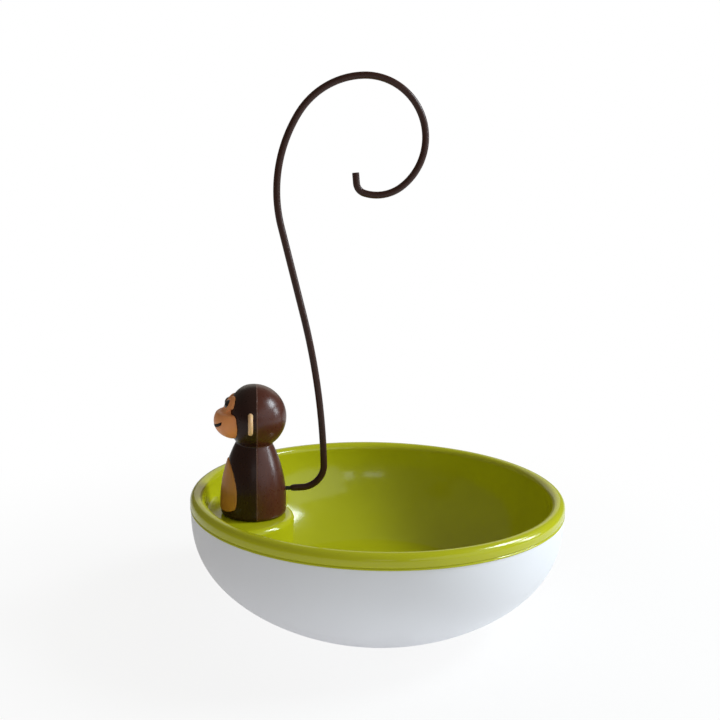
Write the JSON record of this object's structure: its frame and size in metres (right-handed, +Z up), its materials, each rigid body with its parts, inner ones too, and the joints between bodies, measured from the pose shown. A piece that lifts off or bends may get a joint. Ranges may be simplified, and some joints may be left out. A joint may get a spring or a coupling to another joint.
{
  "type": "banana hanger with fruit bowl",
  "caption": "Double-walled round fruit bowl with a small monkey figure on a ledge, whose wire tail rises over the bowl into a curled hook for a bunch of bananas.",
  "frame": {"origin": "centre of the foot ring on the table, which is the middle of the bowl's round base", "axes": "+Z up, towards the top of the hook; the figure stands at -X and looks outwards along -X; the tail lies in the XZ plane"},
  "size_m": [0.26, 0.26, 0.375],
  "materials": {
    "white_shell": "satin",
    "green_liner": "gloss",
    "brown_figure": "satin",
    "tan_plates": "satin",
    "black_trim": "gloss",
    "brown_sleeve": "satin",
    "dark_plastic": "matte",
    "steel": "brushed"
  },
  "bodies": {
    "root": {"outer_bowl": "white_shell", "inner_bowl": "green_liner", "figure_base": "dark_plastic", "figure_screws": "steel", "figure_front_shell": "brown_figure", "figure_rear_shell": "brown_figure", "face_plate": "tan_plates", "mouth_line": "black_trim", "left_eye": "black_trim", "right_eye": "black_trim", "left_ear": "tan_plates", "right_ear": "tan_plates", "belly_plate": "tan_plates", "tail_rod": "steel", "tail_sleeve": "brown_sleeve", "tail_set_screw": "steel"}
  },
  "joints": []
}
